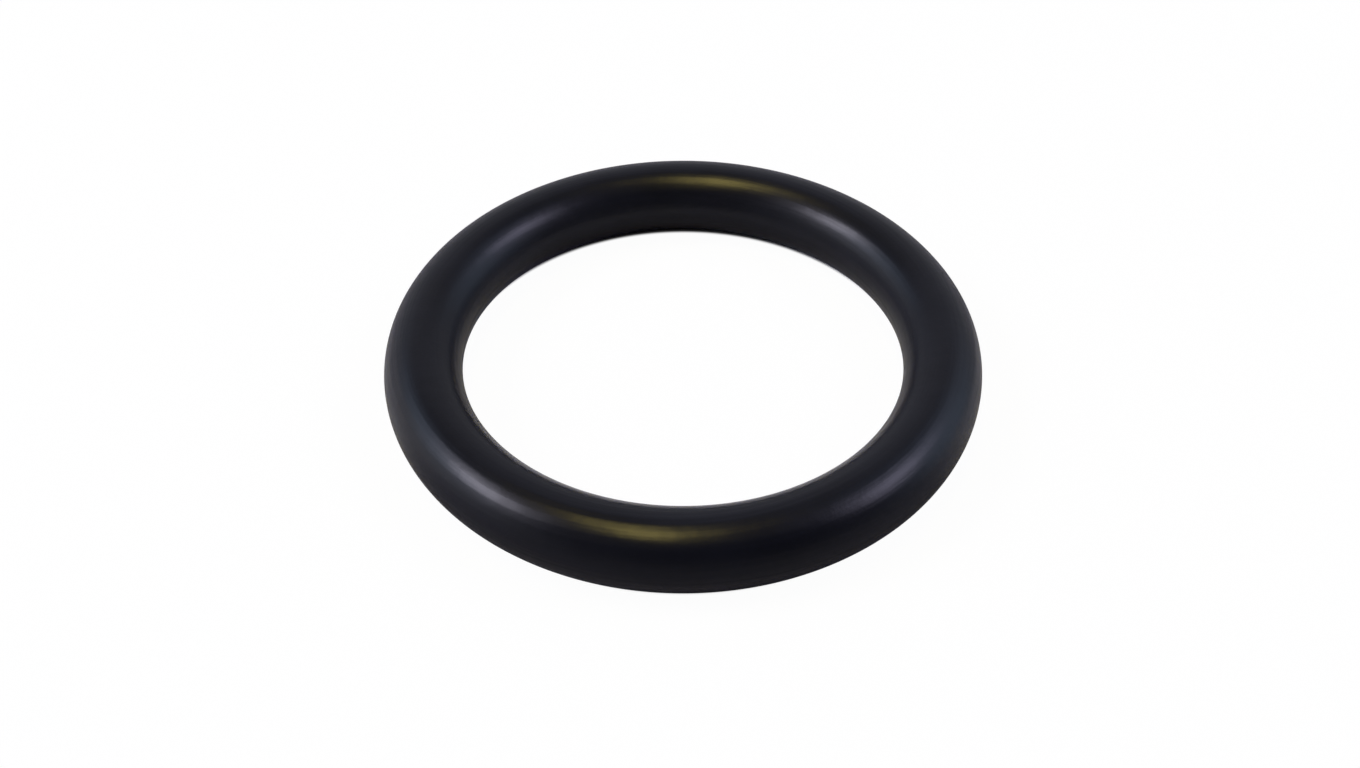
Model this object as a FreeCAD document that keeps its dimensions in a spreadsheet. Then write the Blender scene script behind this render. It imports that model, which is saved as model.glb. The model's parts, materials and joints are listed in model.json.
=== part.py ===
"""A moulded rubber O-ring, one piece.

Its round section is turned about the ring's axis. The mould parts at mid-height, and the line that
it leaves there is trimmed flush, to one narrow land round the inside and one round the outside. The
lands are the widest and narrowest that the ring gets, so the bore and the outside are gauged across
them. The origin is the ring's centre, +Z is its axis, and every length is in millimetres.
"""

import FreeCAD, Part
import math
import os

import Sketcher

# Driving dimensions: name, millimetres, what it measures.
SIZES = (
    ("inner_diameter", 20.22, "bore, across the inner land"),
    ("section_diameter", 3.53, "thickness of the ring along its axis"),
    ("land_width", 0.2, "height of the trimmed land at the parting line"),
)
SHEET = "Sizes"
NODE = "o_ring"
FULL_TURN = 360

# The four edges of the section, in the order in which the sketch holds them.
UPPER, OUTER_LAND, LOWER, INNER_LAND = range(4)
# The sketcher's names for an edge's points, and for the origin and the horizontal axis.
START, END, CENTRE = 1, 2, 3
ORIGIN_POINT = (-1, START)
HORIZONTAL_AXIS = -1


def add_sheet(doc):
    """Writes the driving dimensions to a sheet, one row each, and returns it."""
    sheet = doc.addObject("Spreadsheet::Sheet", SHEET)
    for row, (name, value, meaning) in enumerate(SIZES, start=1):
        sheet.set(f"A{row}", name)
        sheet.set(f"B{row}", str(value))
        sheet.set(f"C{row}", meaning)
        sheet.setAlias(f"B{row}", name)
    doc.recompute()
    return sheet


def origin_feature(body, role):
    """The body's own origin plane or axis of that role."""
    return next(f for f in body.Origin.OriginFeatures if f.Role == role)


def draw_section(sketch, sheet):
    """Draws the section near its final place: an arc over the top, an arc under the bottom, and the
    two lands that join them. Sketch x is the distance from the ring's axis and sketch y is height.
    """
    inner_radius = sheet.inner_diameter / 2
    section_radius = sheet.section_diameter / 2
    half_land = sheet.land_width / 2
    land_angle = math.asin(half_land / section_radius)
    land_reach = section_radius * math.cos(land_angle)
    middle = inner_radius + land_reach
    outer_radius = middle + land_reach

    circle = Part.Circle(FreeCAD.Vector(middle, 0, 0), FreeCAD.Vector(0, 0, 1), section_radius)
    over_top = Part.ArcOfCircle(circle, land_angle, math.pi - land_angle)
    under_bottom = Part.ArcOfCircle(circle, math.pi + land_angle, 2 * math.pi - land_angle)
    outer_land = Part.LineSegment(
        FreeCAD.Vector(outer_radius, -half_land, 0), FreeCAD.Vector(outer_radius, half_land, 0)
    )
    inner_land = Part.LineSegment(
        FreeCAD.Vector(inner_radius, half_land, 0), FreeCAD.Vector(inner_radius, -half_land, 0)
    )
    sketch.addGeometry([over_top, outer_land, under_bottom, inner_land], False)


def constrain_section(sketch, sheet):
    """Closes the section, makes it even about mid-height, and ties it to the sheet."""
    closing = (
        ("Coincident", OUTER_LAND, END, UPPER, START),
        ("Coincident", UPPER, END, INNER_LAND, START),
        ("Coincident", INNER_LAND, END, LOWER, START),
        ("Coincident", LOWER, END, OUTER_LAND, START),
        ("Coincident", UPPER, CENTRE, LOWER, CENTRE),
        ("PointOnObject", UPPER, CENTRE, HORIZONTAL_AXIS),
        ("Symmetric", INNER_LAND, START, INNER_LAND, END, HORIZONTAL_AXIS),
        ("Vertical", OUTER_LAND),
        ("Equal", OUTER_LAND, INNER_LAND),
    )
    for constraint in closing:
        sketch.addConstraint(Sketcher.Constraint(*constraint))

    half_bore = float(sheet.inner_diameter / 2)
    section = float(sheet.section_diameter)
    land = float(sheet.land_width)
    bore_reach = ("DistanceX", *ORIGIN_POINT, INNER_LAND, START, half_bore)
    land_height = ("DistanceY", INNER_LAND, END, INNER_LAND, START, land)
    sheet_ties = (
        ("half_bore", bore_reach, "inner_diameter / 2"),
        ("section_diameter", ("Diameter", UPPER, section), "section_diameter"),
        ("land_width", land_height, "land_width"),
    )
    for name, constraint, formula in sheet_ties:
        index = sketch.addConstraint(Sketcher.Constraint(*constraint))
        sketch.renameConstraint(index, name)
        sketch.setExpression(f"Constraints.{name}", f"{SHEET}.{formula}")


def add_ring(doc, sheet):
    """The O-ring: the section sketched on the XZ plane and revolved once round the Z axis."""
    ring = doc.addObject("PartDesign::Body", "Ring")
    ring.Label = NODE

    section = ring.newObject("Sketcher::SketchObject", "Section")
    section.AttachmentSupport = [(origin_feature(ring, "XZ_Plane"), "")]
    section.MapMode = "FlatFace"
    draw_section(section, sheet)
    constrain_section(section, sheet)
    doc.recompute()

    turned = ring.newObject("PartDesign::Revolution", "TurnedSection")
    turned.Profile = section
    turned.ReferenceAxis = (origin_feature(ring, "Z_Axis"), [""])
    turned.Angle = FULL_TURN
    section.Visibility = False
    ring.Tip = turned
    doc.recompute()
    return ring


def check_document(doc, bodies):
    """Stops the build if a feature failed or a body isn't one sound solid."""
    failed = [o.Name for o in doc.Objects if {"Invalid", "Error"} & set(o.State)]
    if failed:
        raise RuntimeError(f"these features failed: {failed}")
    for body in bodies:
        shape = body.Shape
        if shape.isNull() or not shape.isValid() or len(shape.Solids) != 1:
            raise RuntimeError(f"{body.Label} isn't one valid solid")


def export(bodies):
    """Writes each body to parts/, in a file named after its label."""
    os.makedirs("parts", exist_ok=True)
    for body in bodies:
        body.Shape.exportStep(os.path.join("parts", f"{body.Label}.step"))
        size = body.Shape.optimalBoundingBox()
        print(
            f"{body.Label}: {size.XLength:.3f} x {size.YLength:.3f} x {size.ZLength:.3f} mm, "
            f"{body.Shape.Volume:.2f} cubic mm"
        )


def main():
    doc = FreeCAD.newDocument("ORing")
    sheet = add_sheet(doc)
    bodies = [add_ring(doc, sheet)]
    check_document(doc, bodies)
    export(bodies)


main()
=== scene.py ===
"""Looks of a moulded rubber O-ring that lies on a white studio floor.

Lengths are in metres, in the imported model's frame: the ring's axis is +Z, through the origin. The
ring is drawn again as one fine surface in the place of its CAD solid, from the same bore, outside
and land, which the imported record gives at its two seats.
"""

import json
import math

import bpy
import numpy as np
from mathutils import Matrix, Vector


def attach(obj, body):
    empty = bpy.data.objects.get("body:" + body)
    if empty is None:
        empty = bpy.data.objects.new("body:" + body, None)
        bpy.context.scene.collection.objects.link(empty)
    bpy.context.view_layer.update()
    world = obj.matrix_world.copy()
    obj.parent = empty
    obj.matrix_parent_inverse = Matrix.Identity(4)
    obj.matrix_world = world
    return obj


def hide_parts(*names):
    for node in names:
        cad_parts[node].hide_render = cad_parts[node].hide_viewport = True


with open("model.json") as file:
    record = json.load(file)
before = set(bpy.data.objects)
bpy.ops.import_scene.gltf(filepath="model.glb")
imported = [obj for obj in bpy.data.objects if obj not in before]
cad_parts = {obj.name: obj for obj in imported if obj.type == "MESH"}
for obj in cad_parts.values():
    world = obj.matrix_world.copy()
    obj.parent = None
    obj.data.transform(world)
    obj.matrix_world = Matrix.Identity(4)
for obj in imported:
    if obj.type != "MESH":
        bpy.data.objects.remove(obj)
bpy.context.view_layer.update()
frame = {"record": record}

MM = 0.001
WHITE = (1.0, 1.0, 1.0, 1.0)

# The ring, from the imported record: its bore, its outside and the height of its trimmed lands.
SEATS = {mount["name"]: mount["dims"] for mount in frame["record"]["mounts"]}
BORE_RADIUS = SEATS["inner_seat"]["r_mm"] * MM
OUTER_RADIUS = SEATS["outer_seat"]["r_mm"] * MM
HALF_LAND = SEATS["inner_seat"]["length_mm"] * MM / 2
LAND_REACH = (OUTER_RADIUS - BORE_RADIUS) / 2
RING_RADIUS = (OUTER_RADIUS + BORE_RADIUS) / 2
SECTION_RADIUS = math.hypot(LAND_REACH, HALF_LAND)

# How finely the ring is drawn: steps round its axis, over each half of its section, up each land.
STEPS_ROUND = 720
STEPS_OVER = 56
STEPS_LAND = 4

# How finely the studio is drawn: steps round the floor and tent, out over the floor, down the tent.
STUDIO_STEPS_ROUND = 96
FLOOR_STEPS_OUT = 16
TENT_STEPS_DOWN = 32

# The rubber: satin black with a faint bloom in blots of a few millimetres, and a skin that copies its
# mould: fine tool lines round the ring, slight waves and a finer grain. Its walls, which the mould
# rubs as the ring comes out, are duller than its crown. They run up to WALL_TOP of the section's
# radius from mid-height, and the crown starts at CROWN_FOOT of it. The lands are duller still, and
# that ends at LAND_FADE of their half height.
RUBBER_BLACK = (0.0041, 0.0046, 0.0085, 1.0)
RUBBER_BLOOM = (0.0053, 0.0060, 0.0110, 1.0)
RUBBER_INDEX = 1.33
RUBBER_ROUGHNESS = 0.285
BLOOM_ROUGHNESS = 0.04
WALL_ROUGHNESS = 0.15
WALL_TOP = 0.45
CROWN_FOOT = 0.8
LAND_ROUGHNESS = 0.04
LAND_FADE = 1.25
BLOOM_SIZE = 3.5 * MM
BLOOM_DETAIL = 3.0
BLOOM_START = 0.35
BLOOM_FULL = 0.65
GRAIN_SIZE = 0.16 * MM
GRAIN_DETAIL = 2.0
GRAIN_HEIGHT = 0.003 * MM
WAVE_SIZE = 1.6 * MM
WAVE_DETAIL = 2.0
WAVE_HEIGHT = 0.02 * MM
TOOL_LINE_SIZE = 0.22 * MM
TOOL_LINE_DETAIL = 1.0
TOOL_LINE_HEIGHT = 0.011 * MM
TOOL_LINE_DRIFT = 0.04

# The photograph's camera, 71 mm from the ring's centre, and the point at mid-height that it looks at.
PHOTO_WIDTH = 1360
SENSOR_WIDTH = 36.0
FOCAL_PIXELS = 1545.3
CAMERA_PLACE = Vector((0.0, -52.375, 48.281)) * MM
CAMERA_AIM = Vector((-0.136, -2.188, 0.0)) * MM
CAMERA_ROLL = math.radians(-0.157)
CLIP_START = 1 * MM
CLIP_END = 10.0

# The lamps, a metre off. Each side has a softbox, drawn as its dim sheet and its bright middle, and a
# narrow warm strip hangs overhead. Each row has the lamp's name, lean from overhead, bearing from the
# far side (+Y) towards the right (+X), width, length and turn, all in degrees as the ring sees them,
# and then the radiance and colour of its middle, from which it fades to nothing at its rim. A light's
# own coordinates go from 0 to 1 across it, both ways.
LAMP_DISTANCE = 1.0
LAMP_MIDDLE = (0.5, 0.5, 0.0)
LAMP_RIM = 0.5
LAMPS = (
    ("left_softbox_sheet", 56.9, -76.8, 42.5, 73.6, -16.2, 1.86, (0.54, 0.72, 1.0)),
    ("left_softbox_middle", 45.6, -93.2, 25.7, 45.1, -37.8, 20.6, (0.88, 0.85, 1.0)),
    ("right_softbox_sheet", 67.4, 73.3, 61.6, 110.0, 72.5, 1.46, (0.60, 0.75, 1.0)),
    ("right_softbox_middle", 45.3, 88.1, 32.0, 52.6, 36.5, 8.05, (0.78, 0.74, 1.0)),
    ("warm_strip", 7.0, -103.0, 12.2, 47.0, -3.9, 24.0, (1.0, 0.82, 0.25)),
)

# The tent round the studio is dark over the camera's side and overhead. It gains some glow towards the
# far side, the left and the right. Each of these rows has the two shares of the tent's radius between
# which the glow comes up, and then the glow.
TENT_RADIUS = 1.5
TENT_COLOUR = (0.92, 0.92, 1.0, 1.0)
TENT_FAR = (0.37, 0.77, 0.48)
TENT_LEFT = (0.63, 1.0, 1.10)
TENT_RIGHT = (0.63, 1.0, 0.07)

# The floor's paper. The camera sees it in its own colour. What the rubber mirrors of it, and the light
# it sends on, has painted shade. It keeps its own colour only in a band that runs left to right
# through the ring. From the band's edge to the shade's edge, near and far, it goes over to a darker
# painted shade colour. Both edges are distances from the line y = 0.
FLOOR_RADIUS = 2.0
FLOOR_COLOUR = (0.87, 0.88, 0.95, 1.0)
PAINTED_SHADE_FLOOR_COLOUR = (0.34, 0.34, 0.39, 1.0)
BAND_EDGE = 3.0 * MM
PAINTED_SHADE_EDGE = 9.0 * MM

# Plain white is added to what the camera sees of the floor, though hardly any in a narrow band along
# the ring's line of contact, whose core and edge lie so far from it. There the floor's real shadow
# shows, and the band is painted shade against the whitened floor round it. Further from the axis the
# floor goes over to plain white for everything that is seen or mirrored.
FLOOR_TOP_UP = 0.97
SHADOW_TOP_UP = 0.008
SHADOW_CORE = 0.70 * MM
SHADOW_EDGE = 0.95 * MM
FADE_START = 30.0 * MM
FADE_END = 400.0 * MM


class Number:
    """A value that a node gives. Arithmetic with it adds Math nodes, so 1 - mask works as written."""

    def __init__(self, paint, socket):
        self.paint = paint
        self.socket = socket

    def __add__(self, other):
        return self.paint.maths("ADD", self, other)

    def __sub__(self, other):
        return self.paint.maths("SUBTRACT", self, other)

    def __rsub__(self, other):
        return self.paint.maths("SUBTRACT", other, self)

    def __mul__(self, other):
        return self.paint.maths("MULTIPLY", self, other)

    def __neg__(self):
        return self.paint.maths("MULTIPLY", self, -1.0)

    def __abs__(self):
        return self.paint.maths("ABSOLUTE", self)

    __radd__ = __add__
    __rmul__ = __mul__


class Paint:
    """The nodes of a material, a light or the world, emptied and then filled by node()."""

    def __init__(self, owner):
        owner.use_nodes = True
        self.tree = owner.node_tree
        self.tree.nodes.clear()

    def node(self, kind, settings, values, output=0):
        """Adds a node of that kind, with its settings first and then its sockets' values or links.

        It returns one output, by name or by number, or the node itself if it has none.
        """
        made = self.tree.nodes.new(kind)
        for name, setting in settings.items():
            if name == "stops":
                self.set_stops(made.color_ramp, setting)
            else:
                setattr(made, name, setting)
        for name, value in values.items():
            if isinstance(value, Number):
                self.tree.links.new(value.socket, made.inputs[name])
            else:
                made.inputs[name].default_value = value
        return Number(self, made.outputs[output]) if made.outputs else made

    @staticmethod
    def set_stops(ramp, stops):
        """Gives a ramp of two stops its places and colours."""
        for element, (place, colour) in zip(ramp.elements, stops):
            element.position = place
            element.color = colour

    def maths(self, operation, *terms):
        return self.node("ShaderNodeMath", {"operation": operation}, dict(enumerate(terms)))

    def ease(self, value, start, end, before, after):
        """Goes smoothly from before to after while value goes from start to end, and holds there."""
        ends = {"From Min": start, "From Max": end, "To Min": before, "To Max": after}
        smooth = {"interpolation_type": "SMOOTHSTEP"}
        return self.node("ShaderNodeMapRange", smooth, {"Value": value, **ends})

    def place(self):
        """The place on the piece, in metres."""
        return self.node("ShaderNodeTexCoord", {}, {}, "Object")

    def part_of(self, vector, axis):
        return self.node("ShaderNodeSeparateXYZ", {}, {"Vector": vector}, axis)

    def from_axis(self, place):
        """The distance of a place from the ring's axis, in metres."""
        flat_place = self.vector_maths("MULTIPLY", place, (1.0, 1.0, 0.0))
        return self.vector_maths("LENGTH", flat_place, output="Value")

    def vector_maths(self, operation, first, second=(0.0, 0.0, 0.0), output="Vector"):
        vectors = {0: first, 1: second}
        return self.node("ShaderNodeVectorMath", {"operation": operation}, vectors, output)

    def noise(self, place, size, detail):
        """Noise about 0.5 whose blots are about that size, in metres."""
        values = {"Vector": place, "Scale": 1 / size, "Detail": detail}
        return self.node("ShaderNodeTexNoise", {}, values, "Fac")

    def ray(self, kind):
        """1 for a ray of that kind, or else 0."""
        return self.node("ShaderNodeLightPath", {}, {}, kind)

    def seen(self):
        """1 for a ray from the camera, or one that a glossy or a clear surface sends on, or else 0."""
        mirrored = self.maths("MAXIMUM", self.ray("Is Glossy Ray"), self.ray("Is Transmission Ray"))
        return self.maths("MAXIMUM", self.ray("Is Camera Ray"), mirrored)

    def glow(self, colour, strength):
        return self.node("ShaderNodeEmission", {}, {"Color": colour, "Strength": strength})

    def matt(self, colour):
        return self.node("ShaderNodeBsdfDiffuse", {}, {"Color": colour})

    def mix(self, share, first, second):
        """A mix of two shaders, with that share of the second."""
        return self.node("ShaderNodeMixShader", {}, {0: share, 1: first, 2: second})

    def finish(self, surface):
        """Sends the surface to a material's output."""
        self.node("ShaderNodeOutputMaterial", {}, {"Surface": surface})


def mesh_object(name, points, corners):
    """Puts points and four-cornered faces into a smooth mesh, and the mesh into the scene."""
    mesh = bpy.data.meshes.new(name)
    mesh.from_pydata(points.tolist(), [], corners.tolist())
    mesh.polygons.foreach_set("use_smooth", np.ones(len(corners), bool))
    mesh.update()
    made = bpy.data.objects.new(name, mesh)
    bpy.context.scene.collection.objects.link(made)
    return made


def closed_mesh(name, points):
    """A mesh object from a grid of points that closes on itself both ways.

    Point (i, j) joins to (i + 1, j) and (i, j + 1), the last of each to the first, and the faces look
    towards the first way crossed with the second.
    """
    rows, columns = points.shape[:2]
    index = np.arange(rows * columns).reshape(rows, columns)
    after = np.roll(index, -1, axis=0)
    corners = np.stack([index, after, np.roll(after, -1, axis=1), np.roll(index, -1, axis=1)], axis=-1)
    return mesh_object(name, points.reshape(-1, 3), corners.reshape(-1, 4))


def open_mesh(name, points):
    """A mesh object from a grid of points that has four free edges."""
    rows, columns = points.shape[:2]
    index = np.arange(rows * columns).reshape(rows, columns)
    corners = np.stack([index[:-1, :-1], index[1:, :-1], index[1:, 1:], index[:-1, 1:]], axis=-1)
    return mesh_object(name, points.reshape(-1, 3), corners.reshape(-1, 4))


def section_angles():
    """Angles round the section, from the outer land's lower edge. The lands are stepped by height."""
    land_angle = math.asin(HALF_LAND / SECTION_RADIUS)
    heights = np.linspace(-HALF_LAND, HALF_LAND, STEPS_LAND + 1)[:-1]
    up_outer_land = np.arcsin(heights / SECTION_RADIUS)
    over_top = np.linspace(land_angle, math.pi - land_angle, STEPS_OVER + 1)[:-1]
    return np.concatenate([up_outer_land, over_top, math.pi + up_outer_land, math.pi + over_top])


def ring_points(turn, roll):
    """The ring's surface at angles turn round its axis and roll round its section.

    The section is a circle whose reach, in and out, stops at the lands: across = clip(radius cos roll,
    -reach, reach) and up = radius sin roll. The turn carries it round the axis: x = (ring radius +
    across) cos turn, y = (ring radius + across) sin turn, z = up.
    """
    across = np.clip(SECTION_RADIUS * np.cos(roll), -LAND_REACH, LAND_REACH)
    out = RING_RADIUS + across
    return np.stack([out * np.cos(turn), out * np.sin(turn), SECTION_RADIUS * np.sin(roll)], axis=-1)


def satin_rubber():
    """Black rubber from a turned mould: satin, faintly mottled, and duller on walls and lands.

    The tool lines are noise at the place (distance from the axis, height, 0), which is the same all
    round, plus a small share of the whole place, which lets a line fade out along the ring. The
    relief is in metres, so the bump takes it as it is.
    """
    material = bpy.data.materials.new("satin_black_rubber")
    paint = Paint(material)
    place = paint.place()
    height = paint.part_of(place, "Z")
    wall = paint.ease(abs(height), WALL_TOP * SECTION_RADIUS, CROWN_FOOT * SECTION_RADIUS, 1.0, 0.0)
    land = paint.ease(abs(height), HALF_LAND, LAND_FADE * HALF_LAND, 1.0, 0.0)
    bloom = paint.noise(place, BLOOM_SIZE, BLOOM_DETAIL)
    grain = paint.noise(place, GRAIN_SIZE, GRAIN_DETAIL)
    waves = paint.noise(place, WAVE_SIZE, WAVE_DETAIL)

    section_place = paint.node("ShaderNodeCombineXYZ", {}, {"X": paint.from_axis(place), "Y": height})
    drift = paint.vector_maths("MULTIPLY", place, (TOOL_LINE_DRIFT,) * 3)
    line_place = paint.vector_maths("ADD", section_place, drift)
    tool_lines = paint.noise(line_place, TOOL_LINE_SIZE, TOOL_LINE_DETAIL)

    stops = ((BLOOM_START, RUBBER_BLACK), (BLOOM_FULL, RUBBER_BLOOM))
    colour = paint.node("ShaderNodeValToRGB", {"stops": stops}, {"Fac": bloom})
    dullness = BLOOM_ROUGHNESS * (bloom - 0.5) + WALL_ROUGHNESS * wall + LAND_ROUGHNESS * land
    relief = GRAIN_HEIGHT * grain + WAVE_HEIGHT * waves + TOOL_LINE_HEIGHT * tool_lines
    rubber = {
        "Base Color": colour,
        "Roughness": RUBBER_ROUGHNESS + dullness,
        "IOR": RUBBER_INDEX,
        "Normal": paint.node("ShaderNodeBump", {}, {"Distance": 1.0, "Height": relief}),
    }
    paint.finish(paint.node("ShaderNodeBsdfPrincipled", {}, rubber))
    return material


def add_ring():
    """The ring's fine surface, in the place of its CAD solid."""
    turn = np.linspace(0, 2 * math.pi, STEPS_ROUND, endpoint=False)
    turn, roll = np.meshgrid(turn, section_angles(), indexing="ij")
    ring = closed_mesh("ring", ring_points(turn, roll))
    ring.data.materials.append(satin_rubber())
    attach(ring, "root")
    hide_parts("o_ring")


def add_floor(height):
    """A round white floor at that height, which takes the ring's shadow and fades to plain white, with
    painted shade along the ring's line of contact and in what the rubber mirrors of it.
    """
    out = np.linspace(0, FLOOR_RADIUS, FLOOR_STEPS_OUT + 1)
    turn = np.linspace(0, 2 * math.pi, STUDIO_STEPS_ROUND + 1)
    out, turn = np.meshgrid(out, turn, indexing="ij")
    points = np.stack([out * np.cos(turn), out * np.sin(turn), np.full_like(out, height)], axis=-1)
    floor = open_mesh("floor", points)

    material = bpy.data.materials.new("white_floor")
    paint = Paint(material)
    place = paint.place()
    camera_ray = paint.ray("Is Camera Ray")
    # Painted shade: what the rubber mirrors, and bounced light, see darker paper near and far of the
    # band.
    painted_shade = paint.ease(abs(paint.part_of(place, "Y")), BAND_EDGE, PAINTED_SHADE_EDGE, 0.0, 1.0)
    painted_shade_share = painted_shade * (1 - camera_ray)
    paper = paint.mix(painted_shade_share, paint.matt(FLOOR_COLOUR), paint.matt(PAINTED_SHADE_FLOOR_COLOUR))

    distance = paint.from_axis(place)
    # Painted shade: hardly any white is added along the ring's line of contact, so the floor is darker
    # there.
    from_contact = abs(distance - RING_RADIUS)
    top_up = paint.ease(from_contact, SHADOW_CORE, SHADOW_EDGE, SHADOW_TOP_UP, FLOOR_TOP_UP)
    share = paint.ease(distance, FADE_START, FADE_END, top_up * camera_ray, 1.0) * paint.seen()
    paint.finish(paint.mix(share, paper, paint.glow(WHITE, 1.0)))
    floor.data.materials.append(material)


def tent_share(way, shares):
    """The glow that the tent gains from one share of its radius to another, along that way."""
    start, end, glow = shares
    return way.paint.ease(way, start * TENT_RADIUS, end * TENT_RADIUS, 0.0, glow)


def add_tent():
    """The tent, which lights the ring softly and gives black rubber something dark to mirror.

    It is half a sphere about the ring: x = r sin lean sin bearing, y = r sin lean cos bearing and
    z = r cos lean.
    """
    bearing = np.linspace(0, 2 * math.pi, STUDIO_STEPS_ROUND + 1)
    lean = np.linspace(0, math.pi / 2, TENT_STEPS_DOWN + 1)
    bearing, lean = np.meshgrid(bearing, lean, indexing="ij")
    flat = np.sin(lean)
    points = np.stack([flat * np.sin(bearing), flat * np.cos(bearing), np.cos(lean)], axis=-1)
    tent = open_mesh("tent", TENT_RADIUS * points)

    material = bpy.data.materials.new("shaded_tent")
    paint = Paint(material)
    place = paint.place()
    right = paint.part_of(place, "X")
    far = paint.part_of(place, "Y")
    glow = tent_share(far, TENT_FAR) + tent_share(-right, TENT_LEFT) + tent_share(right, TENT_RIGHT)
    paint.finish(paint.glow(TENT_COLOUR, glow))
    tent.data.materials.append(material)
    tent.visible_camera = False


def fade_to_rim(light):
    """Lets an oval light glow fully at its middle and fade smoothly to nothing at its rim."""
    paint = Paint(light)
    across = paint.node("ShaderNodeNewGeometry", {}, {}, "Parametric")
    from_middle = paint.vector_maths("DISTANCE", across, LAMP_MIDDLE, "Value")
    strength = paint.ease(from_middle, 0.0, LAMP_RIM, 1.0, 0.0)
    paint.node("ShaderNodeOutputLight", {}, {"Surface": paint.glow(WHITE, strength)})


def direction(lean, bearing):
    """The direction that leans so far from overhead, at that bearing from +Y towards +X."""
    flat = math.sin(lean)
    return Vector((flat * math.sin(bearing), flat * math.cos(bearing), math.cos(lean)))


def add_lamp(name, lean, bearing, width, length, turn, radiance, colour):
    """An oval light that faces the ring, with its length towards the far side before it is turned.

    A light's energy is its radiance times pi times its area, which for an oval is pi / 4 of its width
    times its length.
    """
    outward = direction(math.radians(lean), math.radians(bearing))
    side = Vector((0.0, 1.0, 0.0)).cross(outward).normalized()
    axes = Matrix((side, outward.cross(side), outward)).transposed().to_4x4()
    turned = axes @ Matrix.Rotation(math.radians(turn), 4, "Z")

    light = bpy.data.lights.new(name, "AREA")
    light.shape = "ELLIPSE"
    light.size = 2 * LAMP_DISTANCE * math.tan(math.radians(width) / 2)
    light.size_y = 2 * LAMP_DISTANCE * math.tan(math.radians(length) / 2)
    light.energy = radiance * math.pi * (math.pi / 4) * light.size * light.size_y
    light.color = colour
    fade_to_rim(light)
    lamp = bpy.data.objects.new(name, light)
    lamp.matrix_world = Matrix.Translation(LAMP_DISTANCE * outward) @ turned
    bpy.context.scene.collection.objects.link(lamp)


def add_world():
    """Plain white beyond the tent."""
    world = bpy.data.worlds.new("studio")
    bpy.context.scene.world = world
    paint = Paint(world)
    white = paint.node("ShaderNodeBackground", {}, {"Color": WHITE, "Strength": paint.seen()})
    paint.node("ShaderNodeOutputWorld", {}, {"Surface": white})


def add_camera():
    """The camera at the photograph's place, turned and framed as the photograph is."""
    camera_data = bpy.data.cameras.new("camera")
    camera_data.sensor_width = SENSOR_WIDTH
    camera_data.lens = SENSOR_WIDTH * FOCAL_PIXELS / PHOTO_WIDTH
    camera_data.clip_start = CLIP_START
    camera_data.clip_end = CLIP_END
    camera = bpy.data.objects.new("camera", camera_data)
    level = (CAMERA_AIM - CAMERA_PLACE).to_track_quat("-Z", "Y").to_matrix().to_4x4()
    rolled = level @ Matrix.Rotation(CAMERA_ROLL, 4, "Z")
    camera.matrix_world = Matrix.Translation(CAMERA_PLACE) @ rolled
    bpy.context.scene.collection.objects.link(camera)
    bpy.context.scene.camera = camera


add_ring()
add_floor(-SECTION_RADIUS)
add_tent()
for lamp_row in LAMPS:
    add_lamp(*lamp_row)
add_world()
add_camera()
bpy.context.scene.view_settings.view_transform = "Standard"
